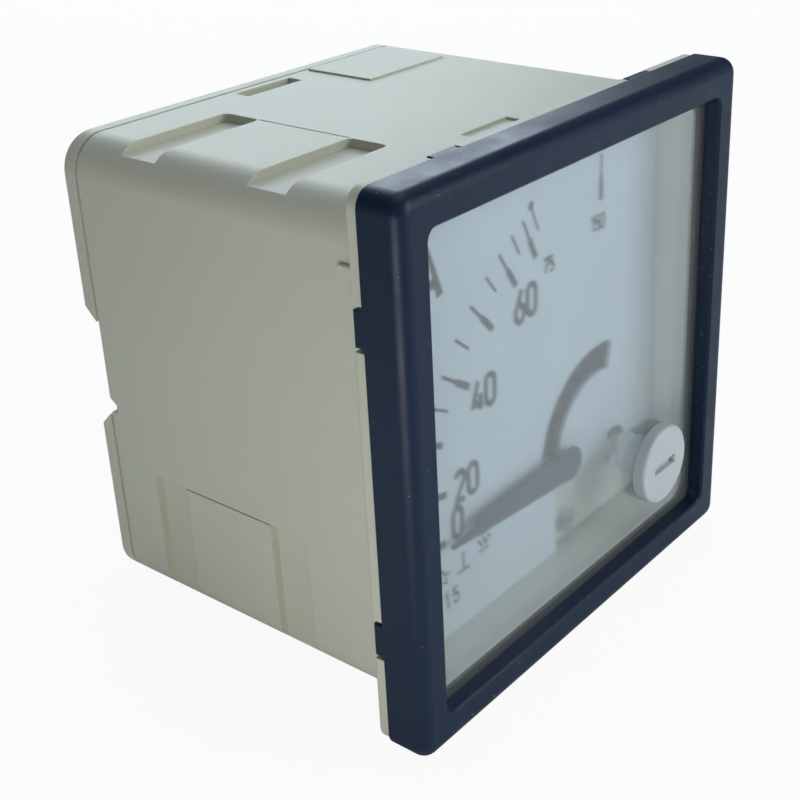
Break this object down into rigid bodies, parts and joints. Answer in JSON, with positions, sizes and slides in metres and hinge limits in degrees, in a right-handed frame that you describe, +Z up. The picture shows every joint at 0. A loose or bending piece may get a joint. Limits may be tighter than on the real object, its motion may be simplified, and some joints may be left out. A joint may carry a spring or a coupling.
{
  "type": "analog panel meter",
  "caption": "Square moving-iron panel ammeter: clip-on bezel, glass, quarter-circle dial with pointer and zero adjuster, moulded housing with clamp pockets, rear terminal studs.",
  "frame": {"origin": "centre of the panel cut-out, on the front plane of the panel that the collar rests on", "axes": "+X to the right and +Z up as seen from the front; +Y into the panel, so the bezel lies at negative Y and the housing and terminals at positive Y"},
  "size_m": [0.072, 0.0736, 0.072],
  "materials": {
    "bezel_plastic": "satin dark navy moulding",
    "window_glass": "clear pane with an anti-glare face",
    "seal_rubber": "matt",
    "housing_plastic": "satin ivory moulding",
    "terminal_brass": "bright turned",
    "small_steel": "zinc plated",
    "dial_paint": "matt white with a printed scale",
    "black_plastic": "matt black moulding",
    "copper_wire": "enamelled copper",
    "soft_iron": "annealed iron sheet",
    "grey_plastic": "satin grey moulding",
    "pointer_paint": "matt black",
    "light_alloy": "bright rolled",
    "spring_bronze": "bright strip",
    "adjuster_plastic": "natural white moulding"
  },
  "bodies": {
    "case": {"bezel": "bezel_plastic", "window": "window_glass", "window_seal": "seal_rubber", "housing": "housing_plastic", "rear_cover": "housing_plastic", "terminal_stud_upper": "small_steel", "terminal_stud_lower": "small_steel", "terminal_nuts": "small_steel", "terminal_washers": "small_steel", "dial_plate": "dial_paint", "dial_screws": "small_steel", "movement_carrier": "black_plastic", "carrier_screws": "small_steel", "movement_bridge": "housing_plastic", "bridge_screws": "small_steel", "front_bearing": "terminal_brass", "rear_bearing": "terminal_brass", "coil_bobbin": "black_plastic", "coil_winding": "copper_wire", "coil_screws": "small_steel", "fixed_iron": "soft_iron", "damping_chamber": "grey_plastic", "damping_cover": "grey_plastic", "lead_upper": "copper_wire", "lead_lower": "copper_wire"},
    "pointer": {"pointer_blade": "pointer_paint", "pointer_arm": "light_alloy", "balance_weights": "terminal_brass", "spindle": "small_steel", "moving_iron": "soft_iron", "damping_vane": "light_alloy"},
    "lever": {"zero_lever": "light_alloy", "hairspring": "spring_bronze"},
    "adjuster": {"zero_adjuster": "adjuster_plastic"}
  },
  "joints": [
    {"name": "pointer_turn", "type": "hinge", "parent": "case", "child": "pointer", "pos_m": [0.016, 0, -0.016], "axis": [0, 1, 0], "range_deg": [-3, 93], "stiffness_Nm_per_rad": 0.0002},
    {"name": "adjuster_turn", "type": "hinge", "parent": "case", "child": "adjuster", "pos_m": [0.02017, 0, -0.02017], "axis": [0, 1, 0], "range_deg": [-40, 40]},
    {"name": "lever_turn", "type": "hinge", "parent": "case", "child": "lever", "pos_m": [0.016, 0, -0.016], "axis": [0, 1, 0], "range_deg": [-13, 13]}
  ],
  "couplings": [
    {"joint": "lever_turn", "follows": "adjuster_turn", "ratio": 0.25316}
  ]
}
